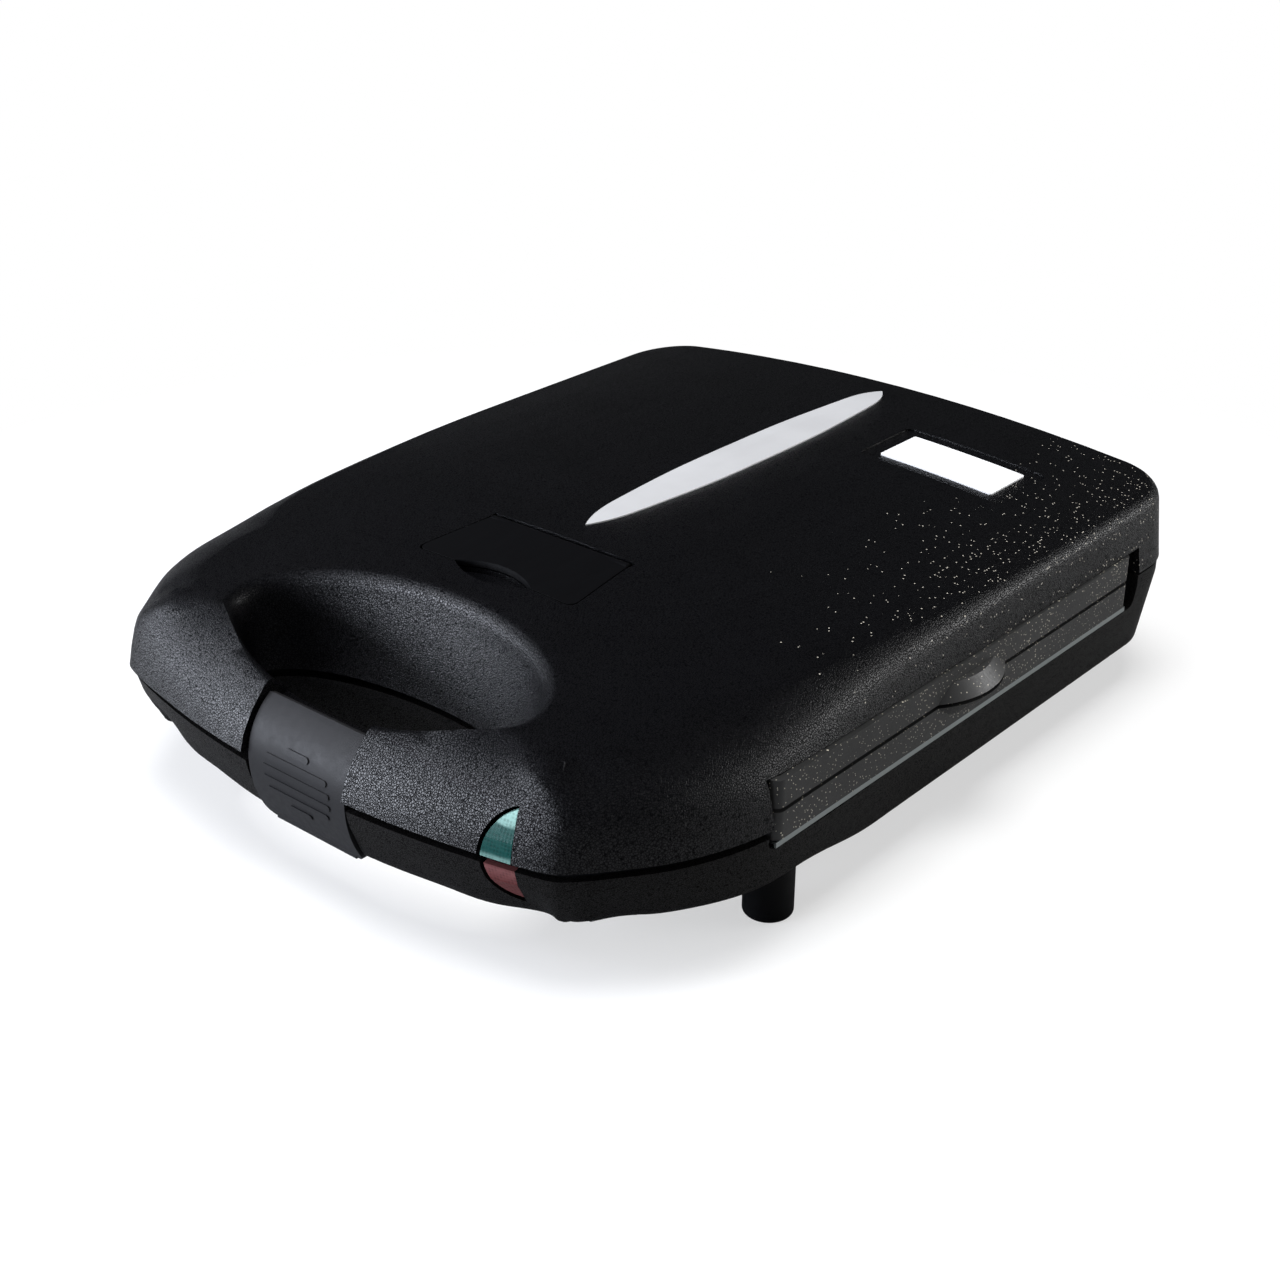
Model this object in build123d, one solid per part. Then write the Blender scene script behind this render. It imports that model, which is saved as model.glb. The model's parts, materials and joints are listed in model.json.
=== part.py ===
from build123d import *
import math
import os

# Donut maker: two hinged moulded halves that close on a pair of ring-mould plates.
# Millimetres. X runs to the right, Y to the rear hinge, Z up. The feet stand on Z = 0,
# and X = Y = 0 is the middle of the overall length and width.

# --- overall form -----------------------------------------------------------
body_width = 255.0
body_depth = 324.0
plate_line = 49.0            # height of the joint between the two cooking plates
lid_crown_height = 83.0
crown_radius = 883.0         # crown of the lid from side to side
nose_radius = 927.0          # fall of the lid towards the front
nose_start = 157.3           # the fall begins this far behind the front edge
lid_rim_drop = 4.7           # front rim of the lid, below the plate line
parting_gap = 3.6            # shadow gap between lid and base at the front
rear_gap = 1.0               # the same gap behind the plates
wall = 2.8
fit_gap = 0.3
seat_gap = 0.3

# --- plan outline -----------------------------------------------------------
front_radius = 347.0
corner_blend = 14.0
corner_angle = 40.0
side_radius = 88.0
side_straight_start = 83.5   # behind the front edge
side_soft_end = 272.0        # the softened shoulder has faded out here
rear_corner_radius = 26.0
side_draft = 8.0             # degrees, lid walls
rear_draft = 2.8
side_crease = 4.0            # rounding where the lid's walls meet its crown
front_crease = 9.3           # the same round the softened front corners
rounding_steps = (0.0, 0.35, 0.6, 0.8, 0.93)
nose_rise = 22.0             # the lid's nose leans back by nose_lean over this height
nose_lean = 12.7
nose_lean_power = 1.9
nose_offset = 2.8
corner_rise = 25.1
corner_lean = 8.7
corner_lean_power = 1.28
shoulder_rise = 23.05
shoulder_lean = 7.0
shoulder_lean_power = 3.8
shoulder_fade_power = 4.3

# --- side window with the plates --------------------------------------------
window_start = 72.0
window_end = 289.3
window_top = 10.2            # above the plate line
window_bottom = 13.0         # below the plate line
window_corner = 3.0

# --- base underside ---------------------------------------------------------
base_front_floor = 21.5
base_floor = 16.4
floor_ramp_start = 88.0
floor_ramp_end = 132.0
base_edge_radius = 3.0
base_side_lean = 3.4
base_corner_lean = 9.6
base_rear_lean = 5.0
base_nose_lean = 6.6
base_lean_height = 28.0
base_curl_height = 21.4
base_step_in = 1.0

# --- handle opening and scoop -----------------------------------------------
hole_centre = 38.4
hole_half_width = 58.0
hole_rear_reach = 21.5
hole_front_reach = 15.3
scoop_half_width = 67.5
scoop_rear_reach = 36.0
scoop_front_reach = 28.4
scoop_rounding = 5.0
scoop_guard_height = 68.0    # the bowl's walls are this high before they round over
base_hole_step = 0.8
base_hole_flare = 4.0

# --- latch ------------------------------------------------------------------
latch_width = 43.2
latch_thickness = 3.0
latch_side_gap = 1.0
latch_clearance = 0.5
latch_face = 3.0             # widest point of the latch, behind the front edge
latch_mid_height = 41.0
latch_upper_radius = 23.7
latch_lower_radius = 38.0
latch_top = 60.7
latch_hook_top = 21.0
latch_hook_reach = 11.0
latch_hook_thickness = 2.0
latch_barrel_radius = 3.0
latch_pin_radius = 1.25
latch_pin_back = 13.9
latch_pin_height = 57.2
latch_cheek = 4.0
latch_rib_height = 0.45
latch_rib_width = 2.0
latch_rib_pitch = 3.9
latch_rib_reach = 15.1
latch_lip_corner = 3.5
running_fit = 0.05
press_fit = 0.02

# --- prop flap --------------------------------------------------------------
flap_front = 88.6
flap_rear = 119.9
flap_front_half = 34.4
flap_rear_half = 30.5
flap_thickness = 2.2
flap_corner = 3.0
flap_gap = 0.5
flap_barrel_radius = 2.1
flap_pin_radius = 1.0
flap_pin_overhang = 3.0
flap_well_depth = 6.0
notch_half_width = 17.0
notch_depth = 5.5

# --- trim -------------------------------------------------------------------
inlay_front = 133.2
inlay_length = 175.8
inlay_half_width = 9.3
inlay_thickness = 1.5
inlay_proud = 0.4
trim_gap = 0.1
badge_recess = (59.7, 34.2)
badge_centre = (59.4, 266.6)
badge_size = (47.3, 23.4)
badge_recess_depth = 0.7
badge_thickness = 1.0

# --- hinge ------------------------------------------------------------------
hinge_offset = 2.0           # axis behind the rear wall
hinge_radius = 6.0
hinge_spacing = 156.0
hinge_knuckle = 24.0
hinge_ear = 8.0
hinge_pin_radius = 2.0
hinge_side_gap = 0.4
hinge_clearance = 0.6

# --- plates -----------------------------------------------------------------
plate_start = 73.6
plate_length = 208.6
plate_half_width = 126.5
plate_gap = 1.4
plate_skirt_depth = 9.2
plate_skirt = 2.5
plate_skin = 3.0
plate_corner = 3.0
ring_columns = 3
ring_rows = 2
ring_pitch_x = 76.0
ring_pitch_y = 94.0
ring_radius = 24.0
ring_groove = 11.0
ring_skin = 2.2
lug_length = 40.0
lug_reach = 6.8
lug_thickness = 5.0
lug_centre = 103.6           # behind the front edge of the plates

# --- heaters and reflectors -------------------------------------------------
element_radius = 3.2
element_half_width = 116.5
element_margin = 11.0
element_bend = 15.0
element_gap = 40.0
reflector_thickness = 0.8
reflector_lip = 1.8
base_pan_bottom = 26.2
lid_pan_top = 65.6
pan_clearance = 1.8
cover_thickness = 2.4
apron_thickness = 1.6
apron_depth = 9.0

# --- feet -------------------------------------------------------------------
foot_radius = 8.0
foot_round = 1.6
front_foot = (111.5, 91.5)
rear_foot = (86.0, 281.0)
foot_socket_wall = 2.2
foot_socket_height = 7.0
foot_fit = 0.15

# --- small parts ------------------------------------------------------------
gland_x = 50.0
gland_height = 31.0
gland_radius = 8.0
gland_bore = 3.6
gland_flange = 10.0
gland_flange_thickness = 2.0
screw_radius = 1.7
screw_head = 3.5
screw_head_height = 2.2
post_radius = 4.5
lens_width = 10.0
green_lens_height = 14.5
red_lens_height = 12.5
lens_angle = 14.0
lens_across = 75.5
lens_thickness = 2.4
lens_gap = 0.15
lamp_radius = 2.5
lamp_length = 9.0
lamp_gap = 0.1

# --- worked out from the above ----------------------------------------------
half = body_width / 2
hinge_overhang = hinge_offset + hinge_radius
front = -(body_depth + hinge_overhang) / 2
rear = front + body_depth
hinge_y = rear + hinge_offset
lid_rim = plate_line - lid_rim_drop
base_rim = lid_rim - parting_gap
lid_rear_rim = plate_line + rear_gap / 2
base_rear_rim = plate_line - rear_gap / 2
crown_start = front + nose_start
hole_y = front + hole_centre
latch_half = latch_width / 2
latch_lip_end = latch_hook_top - latch_hook_thickness
channel_half = latch_half + latch_side_gap
latch_pin_y = front + latch_pin_back
plate_front = front + plate_start
plate_middle = plate_front + plate_length / 2
plate_rear = plate_front + plate_length
upper_face = plate_line + plate_gap / 2
lower_face = plate_line - plate_gap / 2
lid_levels = (lid_rim, lid_rim + 5.7, lid_rim + 11.7)
lid_crease_limit = lid_crown_height - 7.0
above_all = lid_crown_height + 7.0
far = 400.0
tiny = 0.01


def block(x0, x1, y0, y1, z0, z1):
    """A box between two corners."""
    centre = ((x0 + x1) / 2, (y0 + y1) / 2, (z0 + z1) / 2)
    return Pos(*centre) * Box(x1 - x0, y1 - y0, z1 - z0)


def rod(radius, start, end):
    """A round bar between two points."""
    run = Vector(*end) - Vector(*start)
    plane = Plane(origin=start, z_dir=run)
    return plane * Cylinder(radius, run.length, align=(Align.CENTER, Align.CENTER, Align.MIN))


def bar_x(radius, y, z, x0, x1):
    return rod(radius, (x0, y, z), (x1, y, z))


def single(shape):
    """The one solid of a fused or cut shape."""
    return max(shape.solids(), key=lambda s: s.volume)


def rim_stations():
    """Points along the right half of the rim, each with its outward direction."""
    lean = math.radians(corner_angle)
    face = (math.cos(lean), -math.sin(lean))
    run = (-math.sin(lean), -math.cos(lean))
    side_centre = (half - side_radius, front + side_straight_start)
    front_centre = (0, front + front_radius)
    reach = side_radius - corner_blend
    foot_x = side_centre[0] + reach * face[0] - front_centre[0]
    foot_y = side_centre[1] + reach * face[1] - front_centre[1]
    inner = front_radius - corner_blend
    along = foot_x * run[0] + foot_y * run[1]
    slide = -along + math.sqrt(along**2 - foot_x**2 - foot_y**2 + inner**2)
    corner_x = front_centre[0] + foot_x + slide * run[0]
    corner_y = front_centre[1] + foot_y + slide * run[1]
    nose_turn = math.atan2(corner_x, front_centre[1] - corner_y)
    corner_turn = math.pi / 2 - lean
    stations = []

    def arc(centre, radius, start, end, steps, first):
        for i in range(first, steps + 1):
            turn = start + (end - start) * i / steps
            nx = math.sin(turn)
            ny = -math.cos(turn)
            stations.append((centre[0] + radius * nx, centre[1] + radius * ny, nx, ny))

    arc(front_centre, front_radius, 0, nose_turn, 5, 0)
    arc((corner_x, corner_y), corner_blend, nose_turn, corner_turn, 2, 1)
    arc(side_centre, side_radius, corner_turn, math.pi / 2, 5, 0)
    straight = side_soft_end - side_straight_start
    for i in range(1, 5):
        stations.append((half, front + side_straight_start + straight * i / 4, 1.0, 0.0))
    return stations


stations = rim_stations()
corner_x_reach = stations[5][0]
nose_share = stations[5][2]


def lid_insets(z):
    """How far the lid is set in at height z: nose, corner, softened shoulder, side, rear."""
    rise = max(z - lid_rim, 0)
    nose = nose_lean * ((rise + nose_offset) / nose_rise) ** nose_lean_power
    corner = corner_lean * (rise / corner_rise) ** corner_lean_power
    shoulder = shoulder_lean * (rise / shoulder_rise) ** shoulder_lean_power
    side = rise * math.tan(math.radians(side_draft))
    back = rise * math.tan(math.radians(rear_draft))
    return nose, corner, shoulder, side, back


def base_insets(z):
    """How far the base is set in at height z."""
    drop = max(lid_rim - z, 0) / base_lean_height
    curl = (drop * base_lean_height / base_curl_height) ** 1.5
    nose = base_step_in + base_nose_lean * curl
    corner = base_step_in + base_corner_lean * curl
    side = base_step_in + base_side_lean * drop
    back = base_step_in + base_rear_lean * drop
    return nose, corner, 0, side, back


def softness(y):
    """1 at the front of the side window, fading to 0 at the end of the soft shoulder."""
    return min(1.0, max(0.0, (front + side_soft_end - y) / (side_soft_end - window_start)))


def inset_at(station, insets):
    """How far the wall is set in at one station of the right half."""
    x, y, nx, ny = station
    nose, corner, shoulder, side, back = insets
    if y > rear - rear_corner_radius:
        return side * nx**2 + back * ny**2
    if nx <= nose_share:
        return nose + (corner - nose) * (x / corner_x_reach) ** 2
    share = (nx - nose_share) / (1 - nose_share)
    share = share * share * (3 - 2 * share)
    beside = side + shoulder * softness(y) ** shoulder_fade_power
    return corner * (1 - share) + beside * share


def outline(z, insets, extra=0.0):
    """The closed plan outline at height z."""
    nose, corner, shoulder, side, back = insets
    points = []
    for station in stations:
        x, y, nx, ny = station
        depth = inset_at(station, insets) + extra
        points.append(Vector(x - nx * depth, y - ny * depth, z))
    edge_x = half - side - extra
    edge_y = rear - back - extra
    radius = rear_corner_radius - (side + extra) / 2
    bow = radius * (1 - math.sqrt(0.5))
    left = [Vector(-p.X, p.Y, p.Z) for p in reversed(points)]
    edges = [
        Edge.make_spline(points, tangents=[Vector(1, 0, 0), Vector(0, 1, 0)]),
        Edge.make_line(points[-1], Vector(edge_x, edge_y - radius, z)),
        Edge.make_three_point_arc(
            Vector(edge_x, edge_y - radius, z),
            Vector(edge_x - bow, edge_y - bow, z),
            Vector(edge_x - radius, edge_y, z),
        ),
        Edge.make_line(Vector(edge_x - radius, edge_y, z), Vector(radius - edge_x, edge_y, z)),
        Edge.make_three_point_arc(
            Vector(radius - edge_x, edge_y, z),
            Vector(bow - edge_x, edge_y - bow, z),
            Vector(-edge_x, edge_y - radius, z),
        ),
        Edge.make_line(Vector(-edge_x, edge_y - radius, z), left[0]),
        Edge.make_spline(left, tangents=[Vector(0, -1, 0), Vector(1, 0, 0)]),
    ]
    return Wire(edges)


def crown_height(x, y):
    """Height of the lid's crowned top at a point."""
    fall = max(0, crown_start - y)
    side_sag = crown_radius - math.sqrt(crown_radius**2 - x**2)
    nose_sag = nose_radius - math.sqrt(nose_radius**2 - fall**2)
    return lid_crown_height - side_sag - nose_sag


def under_crown(drop):
    """Everything below the crowned top surface, lowered by drop."""
    reach = 150.0
    top = lid_crown_height - drop
    radius = crown_radius - drop
    sag = radius - math.sqrt(radius**2 - reach**2)
    edges = [
        Edge.make_three_point_arc(
            Vector(-reach, crown_start, top - sag),
            Vector(0, crown_start, top),
            Vector(reach, crown_start, top - sag),
        ),
        Edge.make_line(Vector(reach, crown_start, top - sag), Vector(reach, crown_start, 0)),
        Edge.make_line(Vector(reach, crown_start, 0), Vector(-reach, crown_start, 0)),
        Edge.make_line(Vector(-reach, crown_start, 0), Vector(-reach, crown_start, top - sag)),
    ]
    face = Face(Wire(edges))
    level = Solid.extrude(face, Vector(0, rear + 40 - crown_start, 0))
    turn = Axis((0, crown_start, lid_crown_height - nose_radius), (1, 0, 0))
    nose = Solid.revolve(face, 14, turn)
    return Part() + level + nose


def lid_runs():
    """Stations from the nose to the middle of the rear: front, side, corner, rear."""
    corner_y = rear - rear_corner_radius
    start_y = stations[-1][1]
    side_run = [(half, start_y + (corner_y - start_y) * i / 3, 1.0, 0.0) for i in range(4)]
    corner_run = []
    for i in range(6):
        turn = math.pi / 2 * i / 5
        nx = math.cos(turn)
        ny = math.sin(turn)
        x = half - rear_corner_radius * (1 - nx)
        corner_run.append((x, corner_y + rear_corner_radius * ny, nx, ny))
    reach = half - rear_corner_radius
    rear_run = [(reach * (3 - i) / 3, rear, 0.0, 1.0) for i in range(7)]
    return stations, side_run, corner_run, rear_run


def crease_at(station):
    """Radius of the rounding between wall and crown at a station."""
    return side_crease + (front_crease - side_crease) * softness(station[1]) ** 2


def lid_point(station, height, turn, outside):
    """A point of the lid's skin, at a height or else at a share of the crease rounding."""
    x, y, nx, ny = station
    if height is not None:
        depth = inset_at(station, lid_insets(height))
        return Vector(x - nx * depth, y - ny * depth, height)
    radius = crease_at(station)
    across = radius * (1 - math.sqrt(1 - turn**2))
    below = radius * (1 - turn)
    if outside:
        slope = math.sqrt(1 - turn**2) / turn
        across += (2 * below + 0.2) / slope
        below = -below - 0.2
    z = crown_height(x, y) - below
    px = x
    py = y
    for _ in range(4):
        depth = inset_at(station, lid_insets(min(z, lid_crease_limit))) + across
        px = x - nx * depth
        py = y - ny * depth
        z = crown_height(px, py) - below
    return Vector(px, py, z)


def ring(runs):
    """A closed outline from the points of the right half's runs."""
    front_run, side_run, corner_run, rear_run = runs
    lead = front_run[-1] - front_run[-2]
    edges = [
        Edge.make_spline(front_run, tangents=[Vector(1, 0, 0), lead]),
        Edge.make_spline(side_run),
        Edge.make_spline(corner_run),
        Edge.make_spline(rear_run),
        Edge.make_spline(flipped(corner_run)),
        Edge.make_spline(flipped(side_run)),
        Edge.make_spline(
            flipped(front_run), tangents=[Vector(lead.X, -lead.Y, -lead.Z), Vector(1, 0, 0)]
        ),
    ]
    return Wire(edges)


def flipped(run):
    return [Vector(-p.X, p.Y, p.Z) for p in reversed(run)]


def lid_ring(height=None, turn=0.0, outside=False):
    runs = []
    for run in lid_runs():
        runs.append([lid_point(station, height, turn, outside) for station in run])
    return ring(runs)


def lid_cap_ring():
    """The level outline above the crown that closes the lid's form."""
    runs = []
    for run in lid_runs():
        row = []
        for station in run:
            spot = lid_point(station, None, rounding_steps[-1], True)
            row.append(Vector(spot.X - station[2], spot.Y - station[3], above_all))
        runs.append(row)
    return ring(runs)


def lid_form():
    """The lid's outer form, its upper edge rounded over along the crown."""
    rings = [lid_ring(height=z) for z in lid_levels]
    rings += [lid_ring(turn=turn) for turn in rounding_steps]
    rings.append(lid_ring(turn=rounding_steps[-1], outside=True))
    rings.append(lid_cap_ring())
    return Part() + Solid.make_loft(rings, True)


def lid_cavity(extra=wall):
    """The hollow of the lid, set in from its walls by extra."""
    top = lid_crown_height + 1.0
    steps = 3
    heights = [lid_rim + (top - lid_rim) * i / steps for i in range(steps + 1)]
    rings = [outline(z, lid_insets(z), extra) for z in heights]
    return Part() + Solid.make_loft(rings, True)


def base_form(extra=0.0):
    """The base's outer form, or its cavity when set in by extra."""
    heights = [base_floor - 3.0, 25.0, 35.0, lid_rim, base_rear_rim]
    wires = [outline(z, base_insets(z), extra) for z in heights]
    return Part() + Solid.make_loft(wires, True)


# --- openings through the handle ---------------------------------------------
def oval(z, half_width, rear_reach, front_reach):
    """A closed oval whose rear and front halves reach differently far."""
    plane = Plane(origin=(0, hole_y, z))
    rear_half = Edge.make_ellipse(half_width, rear_reach, plane=plane, start_angle=0, end_angle=180)
    front_half = Edge.make_ellipse(
        half_width, front_reach, plane=plane, start_angle=180, end_angle=360
    )
    return Wire([rear_half, front_half])


def nose_height(x, y):
    """Height of the lid's leaning nose above a point of the plan."""
    sag = front_radius - math.sqrt(front_radius**2 - x**2)
    depth = y - front - sag
    share = min(1.0, abs(x) / corner_x_reach) ** 2
    low = 0.0
    high = 60.0
    while high - low > tiny:
        middle = (low + high) / 2
        nose, corner = lid_insets(lid_rim + middle)[:2]
        if nose + (corner - nose) * share < depth:
            low = middle
        else:
            high = middle
    return lid_rim + low


def lid_height(x, y):
    """Height of the lid's skin over the handle end: crown and nose run into each other."""
    crown = crown_height(x, y)
    nose = nose_height(x, y)
    low = min(crown, nose)
    blend = 0.8
    shares = math.exp((low - crown) / blend) + math.exp((low - nose) / blend)
    return low - blend * math.log(shares)


def bowl_ring(share, reach, depth=None, level=None):
    """One ring of the scoop: share runs from the hole to the top of the wall,
    reach goes beyond it, and depth is measured down from the lid's skin."""
    wall_end = scoop_rounding
    across = hole_half_width + (scoop_half_width - wall_end - hole_half_width) * share**0.8
    back = hole_rear_reach + (scoop_rear_reach - wall_end - hole_rear_reach) * share**0.75
    ahead = hole_front_reach + (scoop_front_reach - wall_end - hole_front_reach) * share**1.9
    points = []
    count = 32
    for i in range(count):
        turn = 2 * math.pi * i / count
        x = (across + reach) * math.cos(turn)
        y = hole_y + (back if math.sin(turn) > 0 else ahead) * math.sin(turn)
        y += reach * math.sin(turn)
        if level is not None:
            z = level
        elif depth is not None:
            z = lid_height(x, y) - depth
        else:
            z = lid_rim + share * (lid_height(x, y) - wall_end - lid_rim)
        points.append(Vector(x, y, z))
    return Wire([Edge.make_spline(points, periodic=True)])


def scoop():
    """The finger scoop: a bowl narrowing to the handle opening, its rim rounded over."""
    radius = scoop_rounding
    rings = [bowl_ring(0, 0, level=lid_rim - 1), bowl_ring(0, 0)]
    rings += [bowl_ring(share, 0) for share in (0.3, 0.6, 0.8)]
    for turn in rounding_steps:
        reach = radius * (1 - math.sqrt(1 - turn**2))
        rings.append(bowl_ring(1, reach, depth=radius * (1 - turn)))
    last = rounding_steps[-1]
    slope = math.sqrt(1 - last**2) / last
    for rise in (0.6, 2.5):
        beyond = reach + (radius * (1 - last) + rise) / slope
        rings.append(bowl_ring(1, beyond, depth=-rise))
    rings.append(bowl_ring(1, beyond + 1, level=above_all + 2))
    return Part() + Solid.make_loft(rings, True)


def scoop_guard(extra):
    """A plain bowl outside the scoop, to keep the lid's hollow clear of it."""
    rings = []
    top = lid_crown_height + 2.0
    steps = 6
    for i in range(steps + 1):
        z = lid_rim + (top - lid_rim) * i / steps
        rise = (z - lid_rim) / (scoop_guard_height - lid_rim)
        round_over = scoop_rounding
        across = hole_half_width + (scoop_half_width - round_over - hole_half_width) * rise**0.8
        back = hole_rear_reach + (scoop_rear_reach - round_over - hole_rear_reach) * rise**0.75
        ahead = hole_front_reach
        ahead += (scoop_front_reach - round_over - hole_front_reach) * (rise * 1.4) ** 1.9
        rings.append(oval(z, across + extra, back + extra, ahead + extra))
    return Part() + Solid.make_loft(rings)


def base_hole(extra=0.0):
    """The same opening through the base, a little wider and flared downwards."""
    wires = []
    top = base_rear_rim + 2.0
    bottom = base_floor - 4.0
    for z in (bottom, (top + bottom) / 2, top):
        flare = base_hole_step + base_hole_flare * (top - z) / (top - bottom) + extra
        across = hole_half_width + flare
        wires.append(oval(z, across, hole_rear_reach + flare, hole_front_reach + flare))
    return Part() + Solid.make_loft(wires, True)


def latch_channel(extra=0.0):
    """The recess across the handle that the latch lies in."""
    half_width = channel_half + (latch_cheek if extra else 0)
    depth = latch_thickness + latch_clearance
    upper_y = front + latch_face + latch_upper_radius
    lower_y = front + latch_face + latch_lower_radius
    upper_floor = latch_upper_radius - depth - extra
    lower_floor = latch_lower_radius - depth - extra
    mid = latch_mid_height
    ahead = front - 20
    upper = block(-half_width, half_width, ahead, upper_y, mid, lid_crown_height + 5)
    upper -= bar_x(upper_floor, upper_y, mid, -far, far)
    lower = block(-half_width, half_width, ahead, lower_y, 0, mid)
    lower -= bar_x(lower_floor, lower_y, mid, -far, far)
    open_top = block(
        -half_width, half_width, ahead, hole_y, latch_pin_height - extra, lid_crown_height + 5
    )
    barrel = bar_x(
        latch_barrel_radius + latch_clearance + extra,
        latch_pin_y,
        latch_pin_height,
        -half_width,
        half_width,
    )
    return upper + lower + open_top + barrel


# --- prop flap outline --------------------------------------------------------
def flap_outline(extra=0.0, notch=False):
    """Plan of the flap, wider at its free front edge, as a flat face."""
    front_y = front + flap_front - extra
    rear_y = front + flap_rear + extra
    corners = [
        (-flap_front_half - extra, front_y),
        (flap_front_half + extra, front_y),
        (flap_rear_half + extra, rear_y),
        (-flap_rear_half - extra, rear_y),
    ]
    face = make_face(Polyline(*corners, close=True))
    front_corners = face.vertices().sort_by(Axis.Y)[:2]
    face = fillet(front_corners, flap_corner)
    if notch:
        face -= notch_lens()
    return face


def notch_lens():
    """The lens-shaped finger cut across the flap's free edge."""
    radius = (notch_half_width**2 + notch_depth**2) / (2 * notch_depth)
    centre = front + flap_front + notch_depth - radius
    ahead = front + flap_front - notch_depth + radius
    return (Pos(0, centre) * Circle(radius)) & (Pos(0, ahead) * Circle(radius))


def column(face, z0, z1):
    """A flat plan face stood up between two heights."""
    return Pos(0, 0, z0) * extrude(face, z1 - z0)


flap_level = crown_height(0, front + flap_rear)
flap_axis_y = front + flap_rear
flap_axis_z = flap_level - flap_barrel_radius - 0.15
pocket_floor = flap_thickness + 0.5


# --- hinge --------------------------------------------------------------------
def knuckle(x0, x1, above):
    """A hinge barrel with its block towards the lid (above) or the base (below)."""
    barrel = bar_x(hinge_radius, hinge_y, plate_line, x0, x1)
    root = rear - wall
    if above:
        arm = block(x0, x1, root, hinge_y, plate_line, plate_line + hinge_radius)
    else:
        root = root - base_step_in
        arm = block(x0, x1, root, hinge_y, plate_line - hinge_radius, plate_line)
    return barrel + arm


def hinge_places(side):
    """Ends of the lid knuckle and of the two base ears of one hinge."""
    middle = side * hinge_spacing / 2
    inner = hinge_knuckle / 2
    gap = hinge_side_gap
    lid = (middle - inner, middle + inner)
    ears = [
        (middle - inner - gap - hinge_ear, middle - inner - gap),
        (middle + inner + gap, middle + inner + gap + hinge_ear),
    ]
    return lid, ears


def add_lid_hinges(shell):
    for side in (-1, 1):
        lid, ears = hinge_places(side)
        for x0, x1 in ears:
            room = hinge_side_gap
            shell -= bar_x(hinge_radius + hinge_clearance, hinge_y, plate_line, x0 - room, x1 + room)
        shell += knuckle(lid[0], lid[1], True)
        shell -= bar_x(hinge_pin_radius + running_fit, hinge_y, plate_line, lid[0] - 1, lid[1] + 1)
    return shell


def add_base_hinges(shell):
    for side in (-1, 1):
        lid, ears = hinge_places(side)
        room = hinge_side_gap
        reach = hinge_radius + hinge_clearance
        shell -= bar_x(reach, hinge_y, plate_line, lid[0] - room, lid[1] + room)
        for x0, x1 in ears:
            shell += knuckle(x0, x1, False)
            shell -= bar_x(hinge_pin_radius + press_fit, hinge_y, plate_line, x0 - 1, x1 + 1)
    return shell


def hinge_pin(side):
    lid, ears = hinge_places(side)
    pin = bar_x(hinge_pin_radius, hinge_y, plate_line, ears[0][0], ears[1][1])
    return chamfer(pin.edges().filter_by(GeomType.CIRCLE), 0.4)


# --- lenses of the two lamps ----------------------------------------------------
def lens_prism(height, width, upward, extra=0.0, crescent=0.0):
    """A quarter leaf, standing on the parting gap, run through the front wall."""
    sign = 1 if upward else -1
    start = (lid_rim if upward else base_rim) - sign * 3.0
    right = width / 2 + extra
    left = -width / 2 - extra - crescent
    tip = height + extra + crescent
    with_base = [(right, -3.0), (right, tip), (left, 0.0), (left, -3.0)]
    edges = [
        Edge.make_line(Vector(*with_base[3], 0), Vector(*with_base[0], 0)),
        Edge.make_line(Vector(*with_base[0], 0), Vector(*with_base[1], 0)),
        Edge.make_tangent_arc(Vector(left, 0, 0), Vector(0, 1, 0), Vector(right, tip, 0)),
        Edge.make_line(Vector(left, 0, 0), Vector(left, -3.0, 0)),
    ]
    face = Face(Wire(edges))
    turn = math.radians(lens_angle)
    facing = Vector(math.sin(turn), -math.cos(turn), 0)
    across = Vector(math.cos(turn), math.sin(turn), 0)
    sag = front_radius - math.sqrt(front_radius**2 - lens_across**2)
    origin = Vector(lens_across + width / 2, front + sag - 12, start + sign * 3.0)
    plane = Plane(origin=origin, x_dir=across, z_dir=facing * sign)
    placed = plane * face
    return extrude(placed, amount=60, dir=facing * -1)


# --- feet ---------------------------------------------------------------------
def foot_places():
    return {
        "foot_front_left": (-front_foot[0], front + front_foot[1]),
        "foot_front_right": (front_foot[0], front + front_foot[1]),
        "foot_rear_left": (-rear_foot[0], front + rear_foot[1]),
        "foot_rear_right": (rear_foot[0], front + rear_foot[1]),
    }


def foot_top():
    return base_floor + wall + foot_socket_height


def foot(x, y):
    """A plain round post with a softened foot."""
    post = rod(foot_radius, (x, y, 0), (x, y, foot_top()))
    ends = post.edges().filter_by(GeomType.CIRCLE).sort_by(Axis.Z)
    post = fillet(ends[0], foot_round)
    return post


def post_places():
    """Screw posts between the rings of the plates."""
    reach = plate_length / 2 - 20
    spots = []
    for x in (-ring_pitch_x / 2, ring_pitch_x / 2):
        for y in (plate_middle - reach, plate_middle + reach):
            spots.append((x, y))
    return spots


# --- lower housing --------------------------------------------------------------
def base_underside():
    """Everything above the base's bottom line, which rises softly towards the handle."""
    ahead = front - 30
    behind = rear + 40
    high = (front + floor_ramp_start, base_front_floor)
    low = (front + floor_ramp_end, base_floor)
    line = [
        Line((ahead, 90), (ahead, base_front_floor)),
        Line((ahead, base_front_floor), high),
        Spline(high, low, tangents=[(1, 0), (1, 0)]),
        Line(low, (behind, base_floor)),
        Line((behind, base_floor), (behind, 90)),
        Line((behind, 90), (ahead, 90)),
    ]
    face = Plane.YZ * make_face(line)
    return Pos(-far, 0, 0) * extrude(face, 2 * far, dir=(1, 0, 0))


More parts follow.
